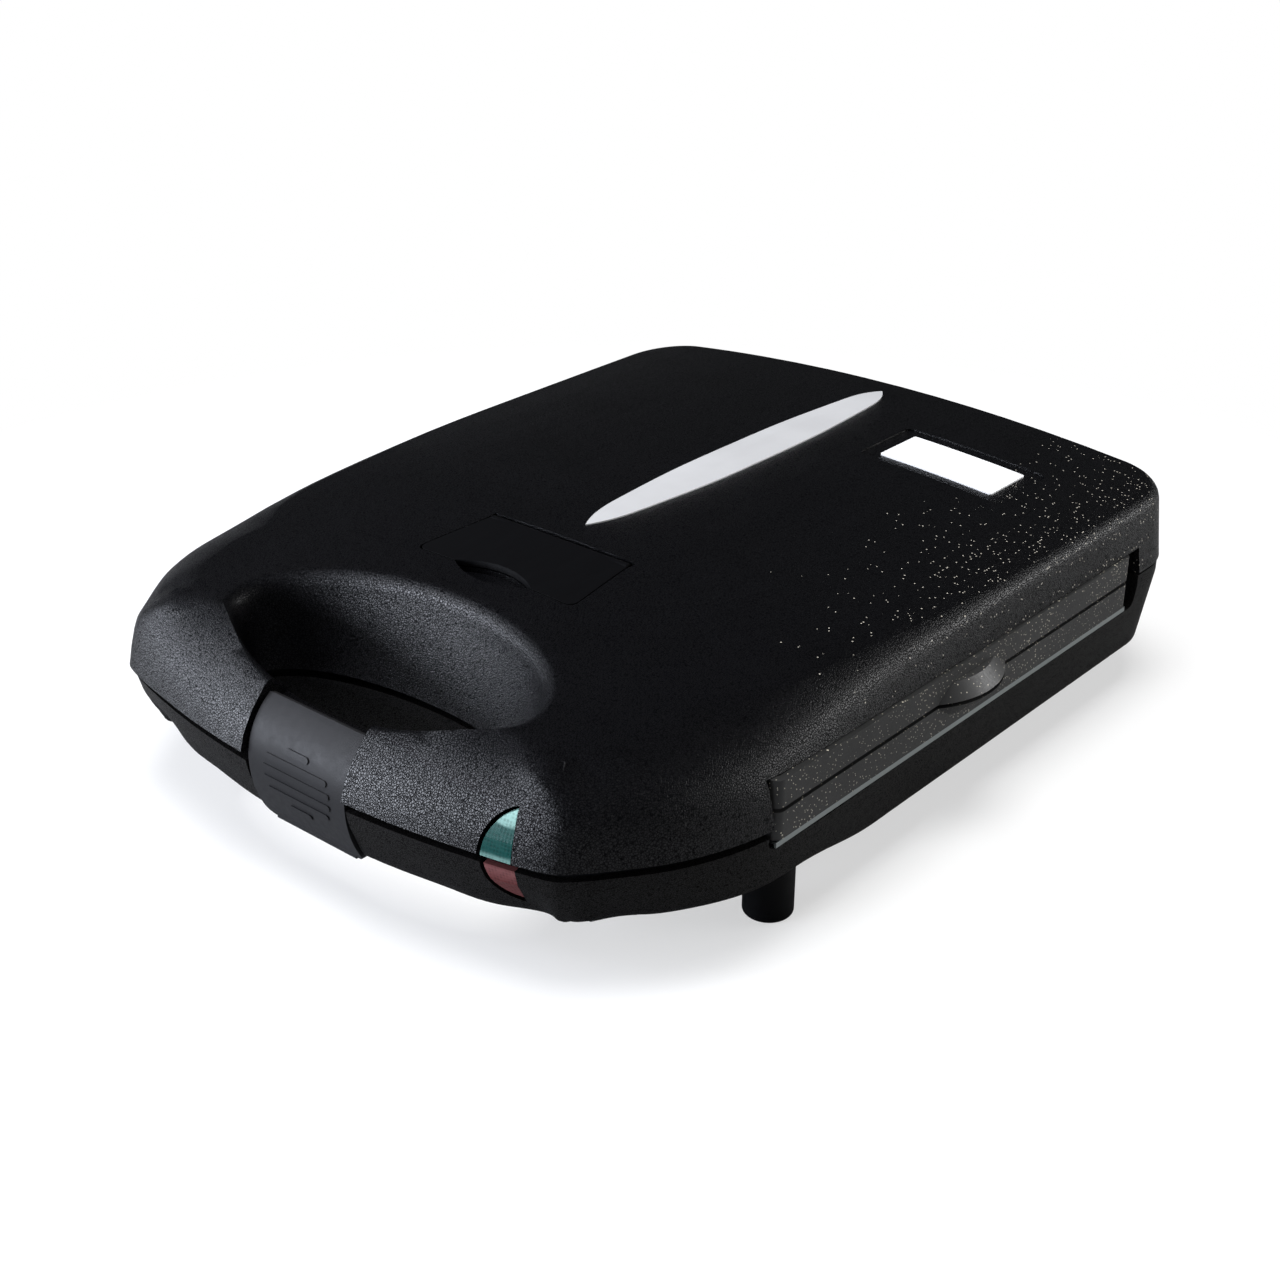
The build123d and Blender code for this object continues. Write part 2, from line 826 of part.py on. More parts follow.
def base_window(extra=0.0):
    """The cut that shows the lower plate at the sides."""
    y0 = front + window_start + extra
    y1 = front + window_end - extra
    cut = block(-far, far, y0, y1, plate_line - window_bottom, 90)
    lower = cut.edges().filter_by(Axis.X).sort_by(Axis.Z)[:2]
    return fillet(lower, window_corner)


def base_shell():
    """The lower housing: an open tray with its handle opening, sockets and posts."""
    body = single(base_form() & base_underside())
    body = Part() + body.fillet(base_edge_radius, [e for e in body.edges() if on_base_edge(e)])
    body -= block(-far, far, front - 50, front + window_start + tiny, base_rim, 90)
    body -= base_window()
    cavity = base_form(wall) & (Pos(0, 0, wall) * base_underside())
    cavity -= base_hole(wall)
    cavity -= latch_channel(wall)
    shell = body - cavity - base_hole() - latch_channel()
    return finish_base(shell)


def on_base_edge(edge):
    """True for the edges round the underside, not those across it."""
    middle = edge @ 0.5
    across = abs(middle.X) < 60 and abs(middle.Y) < 100
    return middle.Z < base_front_floor + 0.5 and not across


def finish_base(shell):
    for x, y in foot_places().values():
        bore = foot_radius + foot_fit
        socket = rod(bore + foot_socket_wall, (x, y, 0), (x, y, foot_top()))
        shell += socket & base_form(wall / 2) & (Pos(0, 0, wall / 2) * base_underside())
        shell -= rod(bore, (x, y, -5), (x, y, foot_top() + 1))
    for x, y in post_places():
        top = base_pan_bottom - seat_gap
        shell += rod(post_radius, (x, y, base_floor + wall / 2), (x, y, top))
        shell -= rod(screw_radius + fit_gap, (x, y, 0), (x, y, top + 1))
        shell -= rod(screw_head + fit_gap, (x, y, 0), (x, y, base_floor + screw_head_height + 1))
    gland_hole = (gland_x, rear - 30, gland_height), (gland_x, rear + 10, gland_height)
    shell -= rod(gland_radius + 0.15, *gland_hole)
    shell -= lens_prism(red_lens_height, lens_width, False, lens_gap, 1.2)
    return add_base_hinges(shell)


def cover(form, region, opening):
    """A flat cover that fills one end of a housing round the handle opening."""
    plate = form(wall + fit_gap) & region
    if opening is not None:
        plate -= opening(wall + fit_gap)
        plate -= latch_channel(wall + fit_gap)
    return plate


def base_front_cover():
    """Closes the top of the handle and turns down in front of the plate."""
    top = base_rim - fit_gap
    edge = front + window_start - 0.5
    region = block(-far, far, front, edge, top - cover_thickness, top)
    region += block(-far, far, edge - apron_thickness, edge, top - apron_depth, top)
    return single(cover(base_form, region, base_hole))


def base_rear_cover():
    """Closes the hinge end and turns down behind the plate."""
    top = base_rear_rim - fit_gap
    edge = front + window_end + 0.5
    region = block(-far, far, edge, rear, top - cover_thickness, top)
    region += block(-far, far, edge, edge + apron_thickness, top - 2 * apron_depth, top)
    plate = cover(base_form, region, None)
    for side in (-1, 1):
        lid, ears = hinge_places(side)
        x0 = ears[0][0] - 2
        x1 = ears[1][1] + 2
        plate -= block(x0, x1, hinge_y - hinge_radius - 2, rear + 1, plate_line - 12, plate_line + 1)
    return single(plate)


def pan_block(inset, z0, z1, lean):
    """A round-cornered block that keeps clear of the housing walls, narrower at z0."""
    width = 2 * (half - wall - pan_clearance - inset)
    length = plate_length - 4 - 2 * inset
    wide = Pos(0, plate_middle, z1) * RectangleRounded(width, length, 6.0)
    narrow = Pos(0, plate_middle, z0) * RectangleRounded(width - 2 * lean, length - 2, 6.0)
    return Part() + Solid.make_loft([narrow.wire(), wide.wire()], True)


def base_reflector():
    """Pressed steel pan under the lower plate, its flange showing at the sides."""
    top = lower_face - plate_skirt_depth - seat_gap
    sheet = reflector_thickness
    lean = base_side_lean * (top - base_pan_bottom) / base_lean_height
    side = base_insets(top)[3]
    outer = pan_block(side, base_pan_bottom, top, lean)
    inner = pan_block(side + sheet, base_pan_bottom + sheet, top + tiny, lean)
    width = 2 * plate_half_width - 0.6
    length = plate_length - 0.6
    flange = Pos(0, plate_middle, top - sheet / 2) * Box(width, length, sheet)
    lips = Pos(0, plate_middle, top - reflector_lip / 2) * Box(width, length, reflector_lip)
    lips -= Pos(0, plate_middle, top) * Box(width - 2 * sheet, far, 4 * reflector_lip)
    pan = outer + flange + lips - inner
    holes = [rod(screw_radius + running_fit, (x, y, 0), (x, y, top)) for x, y in post_places()]
    return single(pan - holes)


# --- cooking plates -------------------------------------------------------------
def ring_places():
    spots = []
    for i in range(ring_columns):
        for j in range(ring_rows):
            x = (i - (ring_columns - 1) / 2) * ring_pitch_x
            y = plate_middle + (j - (ring_rows - 1) / 2) * ring_pitch_y
            spots.append((x, y))
    return spots


def lug(side):
    """A leaf-shaped grip on the plate's edge, sloped on its outer face."""
    half_chord = lug_length / 2
    radius = (half_chord**2 + lug_reach**2) / (2 * lug_reach)
    centre_x = side * (plate_half_width + lug_reach - radius)
    centre_y = plate_front + lug_centre
    cone = Pos(centre_x, centre_y, upper_face + lug_thickness / 2) * Cone(
        radius, radius - 0.6 * lug_reach, lug_thickness
    )
    keep = side * (plate_half_width - 1.0)
    outside = side * far
    room = block(min(keep, outside), max(keep, outside), centre_y - 50, centre_y + 50, 0, 90)
    return cone & room


def upper_plate():
    """Cast plate with a skirt and ring-shaped moulds, face down."""
    width = 2 * plate_half_width
    outer = Pos(0, plate_middle) * RectangleRounded(width, plate_length, plate_corner)
    inner = Pos(0, plate_middle) * RectangleRounded(
        width - 2 * plate_skirt, plate_length - 2 * plate_skirt, plate_corner / 2
    )
    casting = column(outer, upper_face, upper_face + plate_skirt_depth)
    casting -= column(inner, upper_face + plate_skin, upper_face + plate_skirt_depth + 1)
    above = block(-far, far, -far, far, upper_face, 90)
    for x, y in ring_places():
        hump = Pos(x, y, upper_face) * Torus(ring_radius, ring_groove + ring_skin)
        casting += hump & above
    for x, y in ring_places():
        casting -= Pos(x, y, upper_face) * Torus(ring_radius, ring_groove)
    for side in (-1, 1):
        casting += lug(side)
    return single(casting)


def lower_plate():
    return mirror(upper_plate(), about=Plane.XY.offset(plate_line))


def element(z):
    """Tubular heater bent round the edge of a plate, open at the rear."""
    y0 = plate_front + element_margin
    y1 = plate_rear - element_margin
    w = element_half_width
    path = FilletPolyline(
        (-element_gap / 2, y1, z),
        (-w, y1, z),
        (-w, y0, z),
        (w, y0, z),
        (w, y1, z),
        (element_gap / 2, y1, z),
        radius=element_bend,
    )
    profile = Plane(origin=path @ 0, z_dir=path % 0) * Circle(element_radius)
    return sweep(profile, path=path)


def thermostat():
    """Disc thermostat with two tabs, under the middle of the lower plate."""
    top = lower_face - plate_skin - seat_gap
    body = rod(8.0, (0, plate_middle, top - 6), (0, plate_middle, top))
    body += rod(6.0, (0, plate_middle, top - 10), (0, plate_middle, top - 6))
    for side in (-1, 1):
        tab_y = plate_middle + side * 3.5
        body += block(-3.2, 3.2, tab_y - 0.4, tab_y + 0.4, top - 17, top - 9.5)
    return body


def thermal_fuse():
    """One-shot fuse in its sleeve, beside the thermostat."""
    z = lower_face - plate_skin - seat_gap - 2.2
    x = ring_pitch_x / 2
    body = rod(2.2, (x, plate_middle - 9, z), (x, plate_middle + 9, z))
    return body + rod(0.6, (x, plate_middle - 16, z), (x, plate_middle + 16, z))


def terminal_block():
    """Three-way connector on the base floor behind the pan."""
    floor = base_floor + wall
    y = rear - 26
    x = gland_x - 32
    body = block(x - 16, x + 16, y - 6, y + 6, floor, floor + 11)
    for i in (-1, 0, 1):
        spot = x + i * 10
        body -= rod(1.8, (spot, y - 7, floor + 4), (spot, y + 7, floor + 4))
        body -= rod(1.6, (spot, y, floor + 6), (spot, y, floor + 12))
    return body


def cord_gland():
    """Rubber bush for the supply lead, flanged inside the rear wall."""
    inner = rear - 16
    outer = rear - 1
    start = (gland_x, inner, gland_height)
    step = (gland_x, inner + gland_flange_thickness, gland_height)
    end = (gland_x, outer, gland_height)
    bush = rod(gland_radius, start, end)
    mouth = bush.edges().filter_by(GeomType.CIRCLE).sort_by(Axis.Y)[-1]
    bush = chamfer(mouth, 1.5)
    bush += rod(gland_flange, start, step)
    return bush - rod(gland_bore, (gland_x, inner - 1, gland_height), (gland_x, outer + 1, gland_height))


def base_screws():
    """Four pan screws, driven from below through the posts."""
    screws = []
    for x, y in post_places():
        seat = base_floor + screw_head_height + 1
        shank = rod(screw_radius, (x, y, seat - 0.5), (x, y, base_pan_bottom + 3))
        head = rod(screw_head, (x, y, seat - screw_head_height), (x, y, seat))
        screw = head + shank
        screw -= block(x - 2.2, x + 2.2, y - 0.4, y + 0.4, 0, seat - screw_head_height + 0.9)
        screws.append(screw)
    return screws


def red_lens():
    room = block(0, far, front - 10, front + 60, 0, base_rim)
    window = lens_prism(red_lens_height, lens_width, False) & room
    return single((window & base_form()) - base_form(lens_thickness))


def lamp(z):
    """Small glow lamp lying behind its lens."""
    turn = math.radians(lens_angle)
    sag = front_radius - math.sqrt(front_radius**2 - lens_across**2)
    depth = lens_thickness + 12.0
    x = lens_across + lens_width / 2 - depth * math.sin(turn)
    y = front + sag + 1 + depth * math.cos(turn)
    run = Vector(math.cos(turn), math.sin(turn), 0) * (lamp_length / 2)
    centre = Vector(x, y, z)
    return rod(lamp_radius, tuple(centre - run), tuple(centre + run))


# --- lid ----------------------------------------------------------------------
def lid_shell():
    """The upper housing: crowned shell with scoop, flap pocket, trim seats and hinges."""
    body = (lid_form() & under_crown(0)) - scoop()
    cavity = lid_cavity() & under_crown(wall + 0.6)
    cavity -= scoop_guard(wall)
    cavity -= latch_channel(wall)
    tray = column(flap_outline(flap_gap + wall), flap_level - flap_well_depth - wall, 90)
    cavity -= tray
    top = lid_crown_height
    for x, y in post_places():
        cavity -= rod(post_radius, (x, y, lid_pan_top + seat_gap), (x, y, top))
    shell = body - cavity - latch_channel()
    shell -= block(-far, far, front + window_start, front + window_end, 0, plate_line + window_top)
    shell -= block(-far, far, front + window_end - tiny, rear + 5, 0, lid_rear_rim)
    for x, y in post_places():
        shell -= rod(screw_radius, (x, y, lid_pan_top), (x, y, lid_pan_top + 6))
    shell = cut_flap_pocket(shell)
    shell = cut_trim_seats(shell)
    shell -= lens_prism(green_lens_height, lens_width, True, lens_gap, 1.2)
    pin_reach = channel_half + latch_cheek - 0.6
    bore = latch_pin_radius + press_fit
    shell -= bar_x(bore, latch_pin_y, latch_pin_height, -pin_reach, pin_reach)
    return add_lid_hinges(shell)


def cut_flap_pocket(shell):
    pocket = column(flap_outline(flap_gap), 0, 95) - under_crown(pocket_floor)
    well = Pos(0, 0, flap_level - flap_well_depth) * extrude(notch_lens(), 30)
    barrel_room = flap_barrel_radius + flap_gap
    reach = flap_rear_half + 2 * flap_gap
    shell = shell - pocket - well
    shell -= bar_x(barrel_room, flap_axis_y, flap_axis_z, -reach, reach)
    shell -= block(-reach, reach, flap_axis_y, flap_axis_y + barrel_room, flap_axis_z, 95)
    pin_reach = flap_rear_half + flap_gap + flap_pin_overhang - 0.2
    bore = flap_pin_radius + press_fit
    return shell - bar_x(bore, flap_axis_y, flap_axis_z, -pin_reach, pin_reach)


def inlay_plan(extra=0.0):
    """A slim blade, pointed at both ends."""
    start = front + inlay_front
    length = inlay_length
    shape = [(0.05, 0.4), (0.15, 0.7), (0.32, 0.95), (0.5, 1.0)]
    shape += [(0.69, 0.95), (0.88, 0.69), (0.97, 0.36)]
    right = [Vector(0, start - extra, 0)]
    for along, share in shape:
        right.append(Vector(inlay_half_width * share + extra, start + length * along, 0))
    right.append(Vector(0, start + length + extra, 0))
    left = [Vector(-p.X, p.Y, 0) for p in reversed(right)]
    return Face(Wire([Edge.make_spline(right), Edge.make_spline(left)]))


def badge_plan(size, radius):
    x, back = badge_centre
    return Pos(x, front + back) * RectangleRounded(size[0], size[1], radius)


def cut_trim_seats(shell):
    shell -= column(inlay_plan(trim_gap), 60, 95) - under_crown(inlay_thickness - inlay_proud)
    shell -= column(badge_plan(badge_recess, 3.0), 60, 95) - under_crown(badge_recess_depth)
    seat = (badge_size[0] + 2 * trim_gap, badge_size[1] + 2 * trim_gap)
    depth = badge_recess_depth + badge_thickness / 2
    return shell - (column(badge_plan(seat, 1.0), 60, 95) - under_crown(depth))


def inlay():
    """Bright blade-shaped trim, a little proud of the lid."""
    blade = column(inlay_plan(), 60, 95) & under_crown(-inlay_proud)
    return single(blade - under_crown(inlay_thickness - inlay_proud - 0.05))


def badge_plate():
    """Bare nameplate in its recess."""
    plate = column(badge_plan(badge_size, 1.0), 60, 95)
    plate = plate & under_crown(badge_recess_depth - badge_thickness / 2)
    return single(plate - under_crown(badge_recess_depth + badge_thickness / 2 - 0.05))


def lid_front_cover():
    bottom = lid_rim + fit_gap
    edge = front + window_start - 0.5
    region = block(-far, far, front, edge, bottom, bottom + cover_thickness)
    apron_top = plate_line + window_top + 3
    region += block(-far, far, edge - apron_thickness, edge, bottom, apron_top)
    return single(cover(lid_cavity, region, scoop_guard))


def lid_rear_cover():
    bottom = lid_rear_rim + fit_gap
    edge = front + window_end + 0.5
    region = block(-far, far, edge, rear, bottom, bottom + cover_thickness)
    region += block(-far, far, edge, edge + apron_thickness, bottom, bottom + 2 * apron_depth)
    plate = cover(lid_cavity, region, None)
    for side in (-1, 1):
        lid, ears = hinge_places(side)
        x0 = ears[0][0] - 2
        x1 = ears[1][1] + 2
        plate -= block(x0, x1, hinge_y - hinge_radius - 2, rear + 1, plate_line, plate_line + 12)
    return single(plate)


def lid_reflector():
    """Steel pan over the back of the upper plate."""
    bottom = plate_line + window_top + seat_gap
    sheet = reflector_thickness
    lean = lid_insets(lid_pan_top)[3]
    shoulder = lid_insets(lid_pan_top)[2]
    outer = Rot(180, 0, 0) * pan_block(lean, -lid_pan_top, -bottom, shoulder)
    inner = Rot(180, 0, 0) * pan_block(lean + sheet, sheet - lid_pan_top, tiny - bottom, shoulder)
    shift = Pos(0, 2 * plate_middle, 0)
    pan = shift * outer - shift * inner
    holes = [rod(screw_radius + running_fit, (x, y, bottom), (x, y, 80)) for x, y in post_places()]
    return single(pan - holes)


def lid_screws():
    """Four screws that hold the pan to the posts under the crown."""
    screws = []
    for x, y in post_places():
        seat = lid_pan_top - reflector_thickness - 0.05
        head = rod(screw_head, (x, y, seat - screw_head_height), (x, y, seat))
        shank = rod(screw_radius - press_fit, (x, y, seat - 0.5), (x, y, lid_pan_top + 5.5))
        screws.append(head + shank)
    return screws


def green_lens():
    room = block(0, far, front - 10, front + 60, lid_rim, 75)
    window = lens_prism(green_lens_height, lens_width, True) & room
    return single((window & lid_form()) - lid_cavity(lens_thickness))


# --- latch and prop flap --------------------------------------------------------
def latch_band(outer_extra, inner_extra, x0, x1):
    """The curved strip of the latch between two offsets from its outer face."""
    mid = latch_mid_height
    upper_y = front + latch_face + latch_upper_radius
    lower_y = front + latch_face + latch_lower_radius
    top_reach = 0.557 * latch_upper_radius
    upper = bar_x(latch_upper_radius + outer_extra, upper_y, mid, x0, x1)
    upper -= bar_x(latch_upper_radius - inner_extra, upper_y, mid, x0 - 1, x1 + 1)
    upper &= block(x0, x1, front - 10, upper_y - top_reach, mid, latch_top)
    lower = bar_x(latch_lower_radius + outer_extra, lower_y, mid, x0, x1)
    lower -= bar_x(latch_lower_radius - inner_extra, lower_y, mid, x0 - 1, x1 + 1)
    lower &= block(x0, x1, front - 10, lower_y, latch_lip_end, mid)
    return upper + lower


def latch_front():
    """The latch seen from the front: a band with rounded lower corners."""
    tall = latch_top - latch_lip_end + 20
    middle = Pos(0, latch_lip_end + tall / 2)
    face = Plane.XZ * middle * RectangleRounded(latch_width, tall, latch_lip_corner)
    return Pos(0, front + 60, 0) * extrude(face, 120)


def latch():
    """Moulded pull latch: barrel at the top, ribs on its face, hook under the base."""
    body = latch_band(0, latch_thickness, -latch_half, latch_half) & latch_front()
    body += bar_x(latch_barrel_radius, latch_pin_y, latch_pin_height, -latch_half, latch_half)
    lower_y = front + latch_face + latch_lower_radius
    drop = latch_mid_height - latch_hook_top + latch_hook_thickness / 2
    heel = lower_y - math.sqrt(latch_lower_radius**2 - drop**2)
    hook_half = latch_half - latch_lip_corner
    hook_end = heel + latch_hook_reach
    hook = block(-hook_half, hook_half, heel, hook_end, latch_lip_end, latch_hook_top)
    body += hook
    for i in (-2.5, -1.5, -0.5, 0.5, 1.5, 2.5):
        half_length = latch_rib_reach - 0.26 * i**4
        z = latch_mid_height - 1 + i * latch_rib_pitch
        slot = Plane.XZ * Pos(0, z) * SlotOverall(2 * half_length, latch_rib_width)
        rib = Pos(0, front + 20, 0) * extrude(slot, 40)
        skin = latch_band(latch_rib_height, 0.5, -latch_half, latch_half)
        body += rib & skin
    pin_room = latch_pin_radius + running_fit
    body -= bar_x(pin_room, latch_pin_y, latch_pin_height, -latch_half - 1, latch_half + 1)
    return single(body)


def latch_pin():
    reach = channel_half + latch_cheek - 0.8
    return bar_x(latch_pin_radius, latch_pin_y, latch_pin_height, -reach, reach)


def prop_flap():
    """Fold-out prop: a thin leaf that follows the crown, turning on its rear edge."""
    leaf = column(flap_outline(0, True), 0, 95) & under_crown(0)
    leaf -= under_crown(flap_thickness)
    behind = block(-far, far, flap_axis_y, flap_axis_y + 20, 0, 95)
    leaf -= behind
    barrel = bar_x(
        flap_barrel_radius, flap_axis_y, flap_axis_z, -flap_rear_half + 0.3, flap_rear_half - 0.3
    )
    leaf += barrel
    bore = flap_pin_radius + running_fit
    return single(leaf - bar_x(bore, flap_axis_y, flap_axis_z, -far, far))


def flap_pin():
    reach = flap_rear_half + flap_gap + flap_pin_overhang - 0.4
    return bar_x(flap_pin_radius, flap_axis_y, flap_axis_z, -reach, reach)


def build():
    """Every piece by name."""
    pieces = {
        "base_shell": base_shell(),
        "base_front_cover": base_front_cover(),
        "base_rear_cover": base_rear_cover(),
        "base_reflector": base_reflector(),
        "base_element": element(lower_face - plate_skin - seat_gap - element_radius),
        "lower_plate": lower_plate(),
        "thermostat": thermostat(),
        "thermal_fuse": thermal_fuse(),
        "terminal_block": terminal_block(),
        "cord_gland": cord_gland(),
        "base_screws": base_screws(),
        "red_lens": red_lens(),
        "red_lamp": lamp(base_rim - fit_gap - cover_thickness - lamp_radius - lamp_gap),
        "hinge_pin_left": hinge_pin(-1),
        "hinge_pin_right": hinge_pin(1),
        "lid_shell": lid_shell(),
        "lid_front_cover": lid_front_cover(),
        "lid_rear_cover": lid_rear_cover(),
        "lid_reflector": lid_reflector(),
        "lid_element": element(upper_face + plate_skin + seat_gap + element_radius),
        "upper_plate": upper_plate(),
        "lid_screws": lid_screws(),
        "green_lens": green_lens(),
        "green_lamp": lamp(lid_rim + fit_gap + cover_thickness + lamp_radius + lamp_gap),
        "inlay": inlay(),
        "badge_plate": badge_plate(),
        "latch_pin": latch_pin(),
        "flap_pin": flap_pin(),
        "latch": latch(),
        "prop_flap": prop_flap(),
    }
    for name, (x, y) in foot_places().items():
        pieces[name] = foot(x, y)
    return pieces


def save(pieces):
    os.makedirs("parts", exist_ok=True)
    for name, shape in pieces.items():
        if isinstance(shape, list):
            shape = Compound(children=[single(s) for s in shape])
        elif len(shape.solids()) == 1:
            shape = single(shape)
        export_step(shape, f"parts/{name}.step")


if __name__ == "__main__":
    save(build())
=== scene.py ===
import json
import math

import bmesh
import bpy
import numpy as np
from mathutils import Matrix, Vector


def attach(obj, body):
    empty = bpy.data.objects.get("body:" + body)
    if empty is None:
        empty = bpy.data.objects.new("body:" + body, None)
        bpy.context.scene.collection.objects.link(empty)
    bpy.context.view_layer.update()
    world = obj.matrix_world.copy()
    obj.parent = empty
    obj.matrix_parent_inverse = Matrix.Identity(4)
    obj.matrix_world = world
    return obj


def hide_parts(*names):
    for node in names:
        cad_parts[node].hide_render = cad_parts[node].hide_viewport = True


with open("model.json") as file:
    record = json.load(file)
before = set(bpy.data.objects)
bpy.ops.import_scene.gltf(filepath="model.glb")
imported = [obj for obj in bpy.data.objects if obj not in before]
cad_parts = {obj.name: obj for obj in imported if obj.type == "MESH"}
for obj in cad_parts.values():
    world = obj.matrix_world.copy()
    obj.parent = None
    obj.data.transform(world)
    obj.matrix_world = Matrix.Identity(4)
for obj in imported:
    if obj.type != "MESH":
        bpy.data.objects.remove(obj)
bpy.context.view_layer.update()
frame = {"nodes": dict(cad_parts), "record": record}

nodes = frame["nodes"]
scene = bpy.context.scene
SHARP_ANGLE = math.radians(32)

# --- camera ---------------------------------------------------------------------
CAMERA_PLACE = (0.4052, -0.4830, 0.3443)
CAMERA_YAW = 40.250
CAMERA_PITCH = 26.503
CAMERA_ROLL = 0.415
CAMERA_LENS = 55.37
CAMERA_SENSOR = 36.0
CAMERA_SHIFT = (0.0003, -0.0050)
CAMERA_REACH = (0.01, 50)


def make_camera():
    """The camera fitted to the photograph: place, turn about three axes, lens and shift."""
    yaw = math.radians(CAMERA_YAW)
    pitch = math.radians(CAMERA_PITCH)
    roll = math.radians(CAMERA_ROLL)
    back = Vector((math.sin(yaw) * math.cos(pitch), -math.cos(yaw) * math.cos(pitch), math.sin(pitch)))
    right = Vector((math.cos(yaw), math.sin(yaw), 0))
    up = back.cross(right)
    turned_right = right * math.cos(roll) + up * math.sin(roll)
    turned_up = up * math.cos(roll) - right * math.sin(roll)
    data = bpy.data.cameras.new("camera")
    data.lens = CAMERA_LENS
    data.sensor_width = CAMERA_SENSOR
    data.shift_x, data.shift_y = CAMERA_SHIFT
    data.clip_start, data.clip_end = CAMERA_REACH
    camera = bpy.data.objects.new("camera", data)
    scene.collection.objects.link(camera)
    turn = Matrix((turned_right, turned_up, back)).transposed().to_4x4()
    camera.matrix_world = Matrix.Translation(CAMERA_PLACE) @ turn
    scene.camera = camera


make_camera()
scene.view_settings.view_transform = "Standard"


# --- node helpers ---------------------------------------------------------------
MIX_SOCKETS = (0, 6, 7)


class Nodes:
    """Builds one material's node tree a few lines at a time."""

    def __init__(self, name):
        self.material = bpy.data.materials.new(name)
        self.material.use_nodes = True
        self.tree = self.material.node_tree
        self.shader = self.tree.nodes["Principled BSDF"]
        self.output = self.tree.nodes["Material Output"]
        self.coordinates = self.add("ShaderNodeTexCoord").outputs["Object"]

    def add(self, kind, **values):
        node = self.tree.nodes.new(kind)
        for key, value in values.items():
            setattr(node, key, value)
        return node

    def link(self, source, target):
        self.tree.links.new(source, target)

    def noise(self, scale, detail=4.0, rough=0.55, stretch=None):
        node = self.add("ShaderNodeTexNoise")
        node.inputs["Scale"].default_value = scale
        node.inputs["Detail"].default_value = detail
        node.inputs["Roughness"].default_value = rough
        self.link(self.stretched(stretch), node.inputs["Vector"])
        return node.outputs["Fac"]

    def stretched(self, stretch):
        """The object's coordinates, scaled by axis where a stretch is given."""
        if stretch is None:
            return self.coordinates
        node = self.add("ShaderNodeMapping")
        node.inputs["Scale"].default_value = stretch
        self.link(self.coordinates, node.inputs["Vector"])
        return node.outputs["Vector"]

    def cells(self, scale, randomness=1.0, feature="F1", vector=None):
        node = self.add("ShaderNodeTexVoronoi", feature=feature)
        node.inputs["Scale"].default_value = scale
        node.inputs["Randomness"].default_value = randomness
        self.link(vector or self.coordinates, node.inputs["Vector"])
        return node

    def lot(self, cells):
        """A number of its own for every cell, from 0 to 1."""
        node = self.add("ShaderNodeSeparateColor")
        self.link(cells.outputs["Color"], node.inputs["Color"])
        return node.outputs["Red"]

    def place(self):
        """The object's coordinates one by one, in metres."""
        node = self.add("ShaderNodeSeparateXYZ")
        self.link(self.coordinates, node.inputs["Vector"])
        return node.outputs

    def ramp(self, source, stops):
        """Grey values between the stops, each a position and a value."""
        node = self.add("ShaderNodeValToRGB")
        elements = node.color_ramp.elements
        while len(elements) > 1:
            elements.remove(elements[-1])
        elements[0].position, first = stops[0]
        elements[0].color = grey(first)
        for position, value in stops[1:]:
            elements.new(position).color = grey(value)
        self.link(source, node.inputs["Fac"])
        return node.outputs["Color"]

    def feed(self, socket, value):
        """A constant goes on the socket itself, an output is linked to it."""
        if isinstance(value, (int, float, tuple)):
            socket.default_value = value
        else:
            self.link(value, socket)

    def math(self, operation, a, b):
        node = self.add("ShaderNodeMath", operation=operation)
        self.feed(node.inputs[0], a)
        self.feed(node.inputs[1], b)
        return node.outputs["Value"]

    def plus(self, a, b):
        return self.math("ADD", a, b)

    def times(self, a, b):
        return self.math("MULTIPLY", a, b)

    def mix(self, factor, a, b, blend="MIX"):
        node = self.add("ShaderNodeMix", data_type="RGBA", blend_type=blend)
        for index, value in zip(MIX_SOCKETS, (factor, a, b)):
            self.feed(node.inputs[index], value)
        return node.outputs[2]

    def vector_math(self, operation, vector):
        node = self.add("ShaderNodeVectorMath", operation=operation)
        self.link(vector, node.inputs[0])
        return node

    def bump(self, height, distance):
        node = self.add("ShaderNodeBump")
        node.inputs["Strength"].default_value = 1.0
        node.inputs["Distance"].default_value = distance
        self.link(height, node.inputs["Height"])
        return node.outputs["Normal"]

    def set(self, name, value):
        self.feed(self.shader.inputs[name], value)


def grey(value):
    """Four colour values from one number, or from three or four."""
    if isinstance(value, tuple):
        return value if len(value) == 4 else (*value, 1.0)
    return (value, value, value, 1.0)


# --- materials ------------------------------------------------------------------
def pebbles(m, grain):
    """Rounded pebbles parted by creases, their cells bent by a little noise."""
    shifted = m.vector_math("SCALE", m.noise(grain * 0.7, 2.0))
    shifted.inputs["Scale"].default_value = 0.9 / grain
    moved = m.vector_math("ADD", m.coordinates)
    m.link(shifted.outputs["Vector"], moved.inputs[1])
    edges = m.cells(grain, feature="DISTANCE_TO_EDGE", vector=moved.outputs["Vector"])
    return m.ramp(edges.outputs["Distance"], [(0.0, 0.0), (0.16, 0.72), (0.45, 1.0)])


